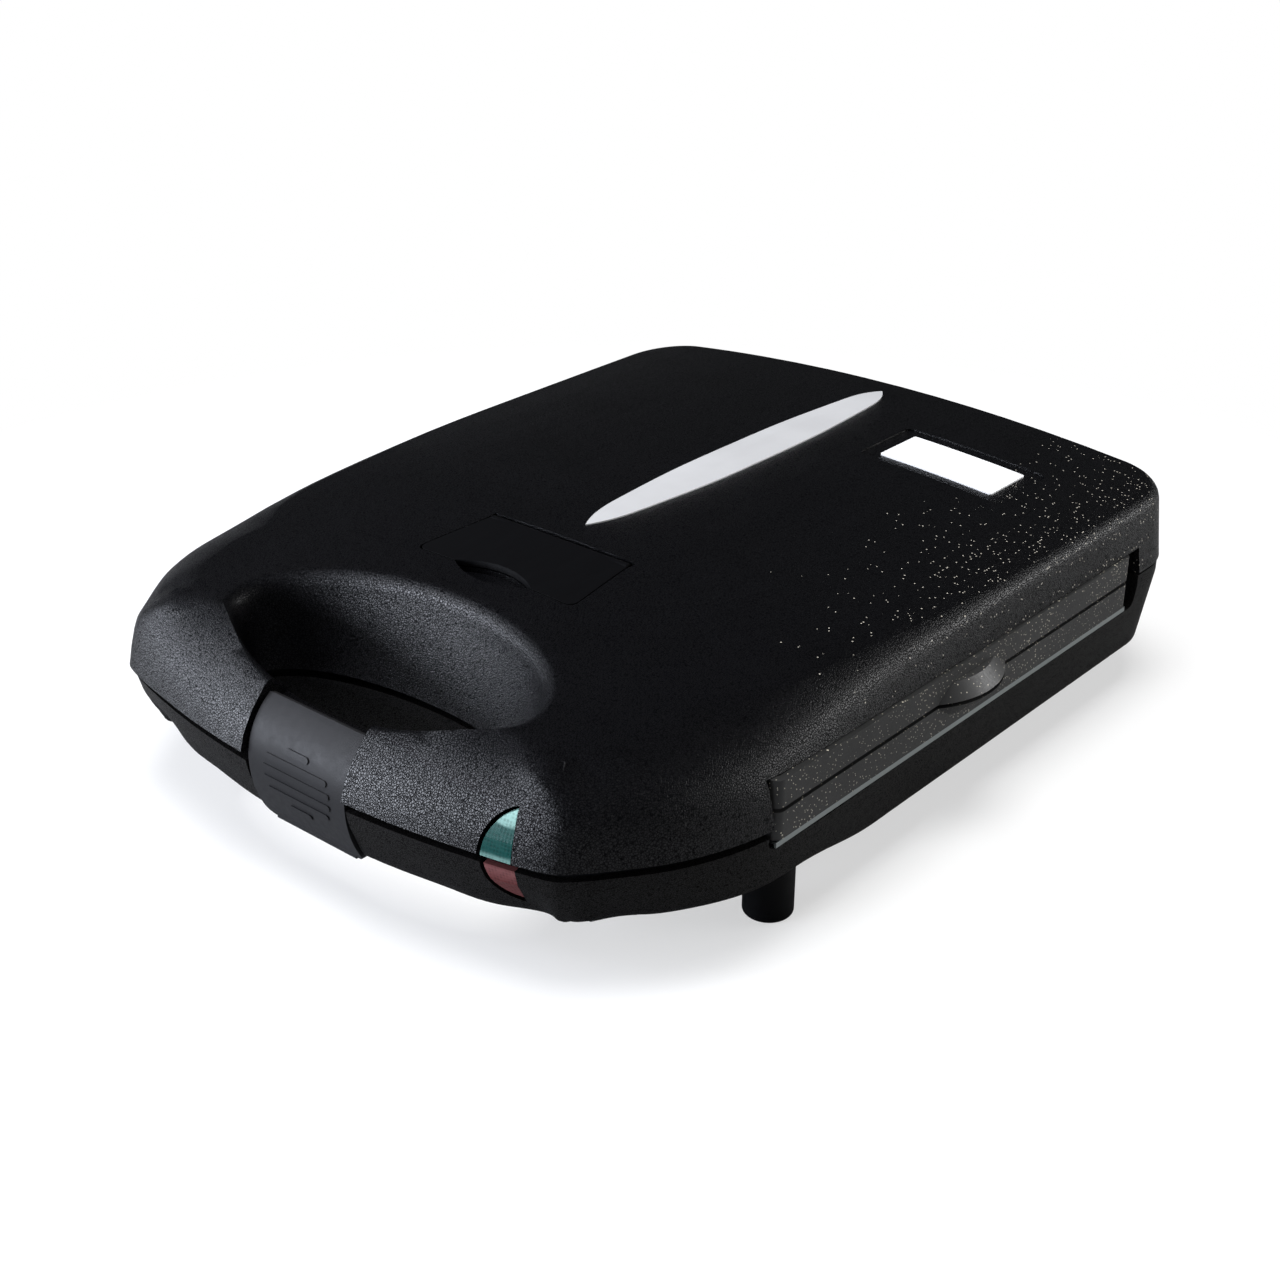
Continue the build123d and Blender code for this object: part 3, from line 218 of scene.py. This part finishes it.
def grained_plastic(name, dark, light, grain, depth, rough, specular, painted_glints=0.0):
    """Moulded plastic with a leather-like grain: pebbles parted by fine creases, and optional painted
    pin-point highlights in the colour.
    """
    m = Nodes(name)
    hill = pebbles(m, grain)
    fine = m.noise(grain * 3.1, 3.0, 0.6)
    broad = m.noise(38.0, 3.0)
    worn = m.noise(14.0, 4.0, 0.6, stretch=(1.0, 0.35, 1.0))
    m.set("Normal", m.bump(m.plus(m.times(hill, 0.75), m.times(fine, 0.6)), depth))
    tone = m.mix(m.times(hill, broad), grey(dark), grey(light))
    # Painted highlight: pale pin-point specks put into the colour where the crease catches the light.
    if painted_glints:
        tone = m.mix(m.times(painted_glint_mask(m), painted_glints), tone, grey(PAINTED_GLINT_COLOUR))
    m.set("Base Color", tone)
    both = m.plus(m.times(fine, 0.6), m.times(worn, 0.4))
    m.set("Roughness", m.ramp(both, [(0.3, rough - 0.09), (0.7, rough + 0.10)]))
    gloss = m.times(hill, m.ramp(fine, [(0.35, 0.35), (0.65, 1.0)]))
    m.set("Specular IOR Level", m.times(gloss, specular))
    return m.material


# Painted pin-point highlights on the black shell: their colour, cell count, share and size.
PAINTED_GLINT_COLOUR = (0.62, 0.58, 0.50)
PAINTED_GLINT_CELLS = 950.0
PAINTED_GLINT_SHARE = 0.30
PAINTED_GLINT_RADIUS = 0.24


def painted_glint_mask(m):
    """Sparse pin-point painted highlights: pale specks painted into the colour where the crown turns
    into the right-hand and rear walls.
    """
    specks = m.cells(PAINTED_GLINT_CELLS)
    place = m.place()
    beside = m.ramp(place["X"], [(0.060, 0.0), (0.100, 0.45), (0.114, 1.0), (0.120, 0.5)])
    behind = m.ramp(m.plus(place["Y"], 0.2), [(0.14, 0.0), (0.26, 1.0)])
    share = m.times(m.times(beside, behind), PAINTED_GLINT_SHARE)
    chosen = m.math("GREATER_THAN", m.plus(share, m.lot(specks)), 1.0)
    small = m.math("LESS_THAN", specks.outputs["Distance"], PAINTED_GLINT_RADIUS)
    return m.times(chosen, small)


def satin_plastic(name, colour, rough, specular, scratch=0.00002):
    """Smooth moulded plastic with faint flow marks and handling scratches."""
    m = Nodes(name)
    soft = m.noise(60.0, 3.0)
    fine = m.noise(1900.0, 2.0, 0.6)
    lines = m.noise(420.0, 2.0, 0.6, stretch=(1.0, 0.12, 1.0))
    paler = tuple(c * 1.35 for c in colour)
    m.set("Base Color", m.mix(m.times(soft, 0.6), grey(colour), grey(paler)))
    m.set("Roughness", m.ramp(lines, [(0.3, rough - 0.05), (0.7, rough + 0.06)]))
    m.set("Normal", m.bump(m.plus(fine, m.times(lines, 0.5)), scratch))
    m.set("Specular IOR Level", specular)
    return m.material


CREAM = (0.62, 0.58, 0.48)


def speckled_coating(name):
    """Charcoal non-stick coating with scattered cream flecks, many small and some large."""
    m = Nodes(name)
    small = m.cells(850.0)
    large = m.cells(420.0)
    broad = m.noise(45.0, 2.0)
    small_reach = m.plus(m.times(broad, 0.22), 0.06)
    small_flecks = m.math("LESS_THAN", small.outputs["Distance"], small_reach)
    large_flecks = m.math("LESS_THAN", large.outputs["Distance"], m.times(broad, 0.30))
    small_flecks = m.times(small_flecks, m.math("GREATER_THAN", m.lot(small), 0.35))
    large_flecks = m.times(large_flecks, m.math("GREATER_THAN", m.lot(large), 0.82))
    flecks = m.math("MAXIMUM", small_flecks, large_flecks)
    tone = m.mix(broad, grey(0.018), grey(0.040))
    m.set("Base Color", m.mix(flecks, tone, grey(CREAM)))
    fine = m.noise(1500.0, 2.0)
    m.set("Roughness", m.ramp(fine, [(0.3, 0.36), (0.7, 0.5)]))
    m.set("Normal", m.bump(m.plus(m.times(fine, 0.5), m.times(flecks, 0.3)), 0.00005))
    m.set("Specular IOR Level", 0.35)
    return m.material


def metal(name, colour, rough, stretch, metallic=1.0):
    """Metal with rolling or grinding lines and dulled patches."""
    m = Nodes(name)
    lines = m.noise(260.0, 3.0, 0.6, stretch=stretch)
    patches = m.noise(40.0, 3.0)
    duller = tuple(c * 0.86 for c in colour)
    m.set("Metallic", metallic)
    m.set("Base Color", m.mix(patches, grey(duller), grey(colour)))
    both = m.times(m.plus(lines, patches), 0.5)
    m.set("Roughness", m.ramp(both, [(0.3, rough - 0.06), (0.7, rough + 0.08)]))
    m.set("Normal", m.bump(lines, 0.00002))
    return m.material


def badge_enamel(name):
    """Bright enamel, a little uneven."""
    m = Nodes(name)
    m.set("Base Color", m.mix(m.noise(25.0, 2.0), grey((0.93, 0.93, 0.94)), grey((0.97, 0.97, 0.97))))
    fine = m.noise(900.0, 2.0)
    m.set("Roughness", m.ramp(fine, [(0.3, 0.22), (0.7, 0.32)]))
    m.set("Normal", m.bump(fine, 0.000008))
    m.set("Specular IOR Level", 0.4)
    return m.material


def lamp_lens(name, deep, pale, bands):
    """Translucent lens: deep and pale bands by height, with fine dots over them."""
    m = Nodes(name)
    dots = m.cells(900.0, randomness=0.15)
    tone = m.noise(150.0, 2.0, stretch=(1.0, 1.0, 2.4))
    level = m.plus(m.place()["Z"], m.times(tone, 0.0012))
    bars = m.ramp(m.times(level, BAND_SCALE), bands)
    shade = m.mix(bars, grey(deep), grey(pale))
    spots = m.ramp(dots.outputs["Distance"], [(0.25, 0.5), (0.5, 1.0)])
    m.set("Base Color", m.mix(0.6, shade, spots, blend="MULTIPLY"))
    m.set("Roughness", m.ramp(tone, [(0.3, 0.30), (0.7, 0.42)]))
    m.set("Normal", m.bump(dots.outputs["Distance"], 0.00005))
    m.set("Specular IOR Level", 0.08)
    return m.material


# Heights in tenths of a metre, and the share of the pale colour there.
BAND_SCALE = 10.0
GREEN_BANDS = [
    (0.440, 0.6), (0.456, 0.4), (0.466, 0.0), (0.545, 0.05), (0.551, 0.7), (0.590, 1.0)
]
RED_BANDS = [(0.300, 0.2), (0.360, 0.1), (0.400, 0.5), (0.425, 0.1)]
GLASS_BANDS = [(0.0, 0.3), (0.9, 0.8)]

materials = {
    "black_shell": grained_plastic(
        "black_shell",
        dark=(0.0016, 0.0016, 0.0020),
        light=(0.0046, 0.0046, 0.0056),
        grain=1300.0,
        depth=0.00010,
        rough=0.33,
        specular=0.714,
        # Strength of the painted pin-point highlights.
        painted_glints=0.9,
    ),
    "grey_shell": grained_plastic(
        "grey_shell",
        dark=(0.0030, 0.0028, 0.0028),
        light=(0.0075, 0.0070, 0.0070),
        grain=1500.0,
        depth=0.00009,
        rough=0.44,
        specular=0.34,
    ),
    "latch_plastic": satin_plastic("latch_plastic", (0.016, 0.016, 0.017), 0.47, 0.10),
    "flap_plastic": satin_plastic("flap_plastic", (0.0020, 0.0020, 0.0024), 0.48, 0.15),
    "inner_plastic": satin_plastic("inner_plastic", (0.010, 0.010, 0.011), 0.55, 0.2, 0.00005),
    "coated_plate": speckled_coating("coated_plate"),
    "steel_sheet": metal("steel_sheet", (0.40, 0.44, 0.44), 0.36, (1.0, 0.06, 1.0)),
    "heater_tube": metal("heater_tube", (0.34, 0.31, 0.29), 0.45, (1.0, 1.0, 1.0)),
    "bright_steel": metal("bright_steel", (0.66, 0.66, 0.67), 0.25, (0.06, 1.0, 1.0)),
    "silver_trim": metal("silver_trim", (0.80, 0.80, 0.81), 0.42, (1.0, 0.05, 1.0), metallic=0.35),
    "white_badge": badge_enamel("white_badge"),
    "green_lamp": lamp_lens("green_lamp", (0.001, 0.040, 0.035), (0.26, 0.44, 0.40), GREEN_BANDS),
    "red_lamp": lamp_lens("red_lamp", (0.085, 0.020, 0.020), (0.26, 0.11, 0.11), RED_BANDS),
    "lamp_glass": lamp_lens("lamp_glass", (0.5, 0.4, 0.3), (0.8, 0.7, 0.55), GLASS_BANDS),
    "foot_plastic": satin_plastic("foot_plastic", (0.0018, 0.0018, 0.0022), 0.42, 0.10),
    "gland_rubber": satin_plastic("gland_rubber", (0.008, 0.008, 0.008), 0.65, 0.2, 0.00006),
    "pale_ceramic": satin_plastic("pale_ceramic", (0.55, 0.52, 0.46), 0.35, 0.4),
}

slots = {part["node"]: part["material_slot"] for part in frame["record"]["subparts"]}


def soften(mesh):
    """Smooth shading with the real edges kept sharp."""
    mesh.shade_smooth()
    mesh.set_sharp_from_angle(angle=SHARP_ANGLE)


for name, piece in nodes.items():
    piece.data.materials.clear()
    piece.data.materials.append(materials[slots[name]])
    soften(piece.data)


# --- eased housings -----------------------------------------------------------------
JOINED = 0.000001


def smooth(t):
    """0 below 0, 1 above 1 and an even turn between them."""
    t = np.clip(t, 0.0, 1.0)
    return t * t * (3 - 2 * t)


def eased_copy(name, body):
    """A copy of a node's mesh with its points joined, standing for the node."""
    mesh = nodes[name].data.copy()
    work = bmesh.new()
    work.from_mesh(mesh)
    bmesh.ops.remove_doubles(work, verts=work.verts, dist=JOINED)
    piece = bpy.data.objects.new(name + "_skin", mesh)
    scene.collection.objects.link(piece)
    piece.matrix_world = nodes[name].matrix_world
    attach(piece, body)
    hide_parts(name)
    return piece, work


def finish_copy(piece, work):
    """Write the worked mesh back; the node's stored normals no longer fit it."""
    work.to_mesh(piece.data)
    work.free()
    normals = piece.data.attributes.get("custom_normal")
    if normals is not None:
        piece.data.attributes.remove(normals)
    soften(piece.data)


# The base, in millimetres. Its plan outline is three arcs, each with its centre, its radius
# and the range of the outward direction's x. Its wall leans in from that outline, by laws
# for the nose, the corner and the side.
FRONT_ARC = ((0.0, 181.0), 347.0, (0.0, 0.263))
CORNER_ARC = ((87.63, -140.26), 14.0, (0.263, 0.766))
SIDE_ARC = ((39.5, -82.5), 88.0, (0.766, 1.0))
FRONT_TURN = FRONT_ARC[2][1]
CORNER_END = (91.3, -153.8)
STATION_STEP = 0.15
EASE_END_Y = -82.0
BASE_RIM = 44.3
BASE_LEVELS = (13.4, 25.0, 35.0, 44.3)
TRIM_INSET = 1
CURL_DROP = 21.4
CURL_POWER = 1.5
NOSE_LEAN = 6.6
CORNER_LEAN = 9.6
EASED_CORNER_LEAN = 8.4
SIDE_LEAN = 3.4
SIDE_DROP = 28.0
SKIN = 5.0
FADE = 14.0


def outline_stations():
    """Places on the outline, outward directions, and what each inset law weighs there."""
    places, outs = [], []
    for centre, radius, (low, high) in (FRONT_ARC, CORNER_ARC, SIDE_ARC):
        angles = np.arange(math.asin(low), math.asin(high), STATION_STEP / radius)
        out = np.stack([np.sin(angles), -np.cos(angles)], axis=1)
        places.append(np.array(centre) + radius * out)
        outs.append(out)
    place, out = np.concatenate(places), np.concatenate(outs)
    at_front = out[:, 0] <= FRONT_TURN
    nose = np.where(at_front, 1 - (place[:, 0] / CORNER_END[0]) ** 2, 0.0)
    turned = smooth((out[:, 0] - FRONT_TURN) / (1 - FRONT_TURN))
    passed = smooth((place[:, 1] - CORNER_END[1]) / (EASE_END_Y - CORNER_END[1]))
    side_before = np.where(at_front, 0.0, turned)
    side_after = np.where(at_front, 0.0, passed)
    return place, out, nose, side_before, side_after


def base_insets(z, nose, side, corner_lean):
    """Inset of every station from the outline at one level of the base."""
    drop = max(BASE_RIM - z, 0.0)
    curl = (drop / CURL_DROP) ** CURL_POWER
    corner = 1 - nose - side
    return (
        nose * (TRIM_INSET + NOSE_LEAN * curl)
        + corner * (TRIM_INSET + corner_lean * curl)
        + side * (TRIM_INSET + SIDE_LEAN * drop / SIDE_DROP)
    )


def between_levels(z, law):
    """The base is ruled between its levels, so the law is a line between them."""
    high = next(level for level in BASE_LEVELS[1:] if z <= level)
    low = BASE_LEVELS[BASE_LEVELS.index(high) - 1]
    share = max(0.0, (z - low) / (high - low))
    return law(low) * (1 - share) + law(high) * share


def ease_base():
    """Carry the base's corner inset on along its sides instead of turning it in one step."""
    piece, work = eased_copy("base_shell", "base")
    place, out, nose, side_before, side_after = outline_stations()
    for vertex in work.verts:
        hand = math.copysign(1, vertex.co.x)
        x, y, z = vertex.co.x * hand * 1000, vertex.co.y * 1000, vertex.co.z * 1000
        if y > EASE_END_Y or z >= BASE_RIM:
            continue
        before = between_levels(z, lambda level: base_insets(level, nose, side_before, CORNER_LEAN))
        after = between_levels(z, lambda level: base_insets(level, nose, side_after, EASED_CORNER_LEAN))
        skin = place - out * before[:, None]
        far = np.hypot(skin[:, 0] - x, skin[:, 1] - y)
        k = int(np.argmin(far))
        hold = 1 - smooth((far[k] - SKIN) / FADE)
        move = out[k] * (before[k] - after[k]) * hold / 1000
        vertex.co.x += hand * move[0]
        vertex.co.y += move[1]
    finish_copy(piece, work)


# The lid, in metres. Its crease folds over itself in a small spot at each front corner.
FOLD_SPOT = (0.088, -0.140, 0.0675)
FOLD_FACING = (0.35, -0.5, 0.79)
FOLD_REACH = 0.0062
FOLD_CORE = 0.0040
FOLD_DEPTH = 0.0016
FOLD_JOIN = 0.0024
LONG_EDGE = 0.0012
FIT_REACH = (0.0055, 0.0150)
EASE_REACH = 0.0085
FIT_SCALE = 100
FIT_ROUNDS = 4
FIT_KEPT = 85
FIT_ERROR = 0.02


def shape_terms(u, v):
    return [1, u, v, u * u, u * v, v * v, u ** 3, u * u * v, u * v * v, v ** 3]


def fitted_height(samples):
    """Least-squares cubic height over a local plane, leaving out what lies off it."""
    rows = np.array([shape_terms(u, v) for u, v, _ in samples])
    heights = np.array([w for _, _, w in samples])
    for _ in range(FIT_ROUNDS):
        terms = np.linalg.lstsq(rows, heights, rcond=None)[0]
        error = np.abs(rows @ terms - heights)
        kept = error <= max(FIT_ERROR, np.percentile(error, FIT_KEPT))
        rows, heights = rows[kept], heights[kept]
    return lambda u, v: float(np.dot(shape_terms(u, v), terms))


class Fold:
    """One folded spot of the lid's skin: where it is and which way it faces."""

    def __init__(self, work, hand):
        self.work = work
        self.spot = Vector((FOLD_SPOT[0] * hand, FOLD_SPOT[1], FOLD_SPOT[2]))
        self.normal = Vector((FOLD_FACING[0] * hand, FOLD_FACING[1], FOLD_FACING[2])).normalized()

    def outer(self, reach):
        """The skin's outer points within reach; in the fold itself, those near its face."""
        points = []
        for vertex in self.work.verts:
            arm = vertex.co - self.spot
            if arm.length < FOLD_CORE:
                if abs(arm.dot(self.normal)) < FOLD_DEPTH:
                    points.append(vertex)
            elif arm.length < reach and vertex.normal.dot(self.normal) > 0.1:
                points.append(vertex)
        return points

    def join(self):
        """Join the folded points, then part the long edges round them."""
        bmesh.ops.remove_doubles(self.work, verts=self.outer(FOLD_REACH), dist=FOLD_JOIN)
        self.work.normal_update()
        near = set(self.outer(EASE_REACH))
        inside = [e for e in self.work.edges if e.verts[0] in near and e.verts[1] in near]
        edges = [e for e in inside if e.calc_length() > LONG_EDGE]
        bmesh.ops.subdivide_edges(self.work, edges=edges, cuts=2, use_grid_fill=True)
        bmesh.ops.triangulate(self.work, faces=[f for f in self.work.faces if len(f.verts) > 4])
        self.work.normal_update()

    def lay(self):
        """Lay the points on a surface fitted to the skin around them."""
        across = self.normal.cross(Vector((0, 0, 1))).normalized()
        along = self.normal.cross(across)
        local = {}
        for v in self.outer(FIT_REACH[1]):
            arm = v.co - self.spot
            local[v] = tuple(arm.dot(axis) * FIT_SCALE for axis in (across, along, self.normal))
        around = [at for v, at in local.items() if (v.co - self.spot).length > FIT_REACH[0]]
        height = fitted_height(around)
        for v, (u, w, h) in local.items():
            far = (v.co - self.spot).length
            share = 1 - smooth((far - FIT_REACH[0]) / (EASE_REACH - FIT_REACH[0]))
            v.co += self.normal * float((height(u, w) - h) * share / FIT_SCALE)
        self.work.normal_update()

    def turn(self):
        """Turn the faces that the fold left facing inwards."""
        turned = []
        for face in self.work.faces:
            arm = face.calc_center_median() - self.spot
            inwards = face.normal.dot(self.normal) < -0.3
            if inwards and arm.length < FIT_REACH[0] and abs(arm.dot(self.normal)) < FOLD_DEPTH:
                turned.append(face)
        bmesh.ops.reverse_faces(self.work, faces=turned)


def ease_lid():
    """Smooth the small fold where the crease turns round each of the lid's front corners."""
    piece, work = eased_copy("lid_shell", "lid")
    work.normal_update()
    for hand in (1, -1):
        fold = Fold(work, hand)
        fold.join()
        fold.lay()
        fold.turn()
    finish_copy(piece, work)


ease_base()
ease_lid()

# --- floor, world and lights ------------------------------------------------------
FLOOR_REACH = 6.0
FLOOR_WHITE = 0.97
FLOOR_GLOW = 0.55
WORLD_COLOUR = (0.93, 0.96, 1.0)
WORLD_STRENGTH = 0.05


def floor_material():
    """Pale where the camera sees it and dim to other rays, so that it doesn't light the object."""
    m = Nodes("floor")
    seen = m.add("ShaderNodeLightPath").outputs["Is Camera Ray"]
    mottle = m.noise(30.0)
    dim = m.ramp(mottle, [(0.3, 0.28), (0.7, 0.31)])
    m.set("Base Color", m.mix(seen, dim, grey(FLOOR_WHITE)))
    m.set("Roughness", m.ramp(mottle, [(0.3, 0.85), (0.7, 0.95)]))
    m.set("Specular IOR Level", 0.1)
    away = m.vector_math("LENGTH", m.coordinates)
    beyond = m.ramp(away.outputs["Value"], [(0.20, 0.0), (0.42, 1.0)])
    glow = m.math("MAXIMUM", beyond, FLOOR_GLOW)
    white = m.add("ShaderNodeEmission")
    mix = m.add("ShaderNodeMixShader")
    m.link(m.times(glow, seen), mix.inputs["Fac"])
    m.link(m.shader.outputs["BSDF"], mix.inputs[1])
    m.link(white.outputs["Emission"], mix.inputs[2])
    m.link(mix.outputs["Shader"], m.output.inputs["Surface"])
    return m.material


def make_floor():
    """A pale floor that takes the soft shadow near the object and is white beyond it."""
    mesh = bpy.data.meshes.new("floor")
    r = FLOOR_REACH
    mesh.from_pydata([(-r, -r, 0), (r, -r, 0), (r, r, 0), (-r, r, 0)], [], [(0, 1, 2, 3)])
    mesh.materials.append(floor_material())
    floor = bpy.data.objects.new("floor", mesh)
    scene.collection.objects.link(floor)


def make_world():
    """White to the camera, faint to all other rays."""
    world = bpy.data.worlds.new("world")
    scene.world = world
    world.use_nodes = True
    tree = world.node_tree
    tree.nodes.clear()
    add, link = tree.nodes.new, tree.links.new

    def background(colour, strength):
        node = add("ShaderNodeBackground")
        node.inputs["Color"].default_value = grey(colour)
        node.inputs["Strength"].default_value = strength
        return node.outputs["Background"]

    path = add("ShaderNodeLightPath")
    seen = add("ShaderNodeMath")
    seen.operation = "MAXIMUM"
    link(path.outputs["Is Camera Ray"], seen.inputs[0])
    link(path.outputs["Is Transmission Ray"], seen.inputs[1])
    mix = add("ShaderNodeMixShader")
    link(seen.outputs["Value"], mix.inputs["Fac"])
    link(background(WORLD_COLOUR, WORLD_STRENGTH), mix.inputs[1])
    link(background(1.0, 1.0), mix.inputs[2])
    link(mix.outputs["Shader"], add("ShaderNodeOutputWorld").inputs["Surface"])


def softbox(name, place, target, size, power, colour=(1, 1, 1), mirrored=True):
    """A soft rectangular light aimed at a target; unmirrored, it lights without a highlight."""
    data = bpy.data.lights.new(name, "AREA")
    data.shape = "RECTANGLE"
    data.size, data.size_y = size
    data.energy = power
    data.color = colour
    light = bpy.data.objects.new(name, data)
    scene.collection.objects.link(light)
    light.location = place
    light.rotation_mode = "QUATERNION"
    light.rotation_quaternion = (Vector(target) - Vector(place)).to_track_quat("-Z", "Y")
    light.visible_glossy = mirrored


make_floor()
make_world()
softbox("key", (-1.10, -1.00, 0.98), (0, -0.05, 0.06), (1.1, 0.8), 20.0, (0.86, 0.90, 1.0))
softbox("low", (-0.85, -1.25, 0.26), (0, -0.08, 0.07), (1.2, 0.42), 36.0, (0.84, 0.89, 1.0))
softbox("rim", (1.10, 1.20, 0.48), (0, 0, 0.05), (0.9, 0.5), 14.0)
softbox("overhead", (0.1, -0.2, 1.8), (0, 0, 0.04), (0.9, 0.9), 31.0, mirrored=False)
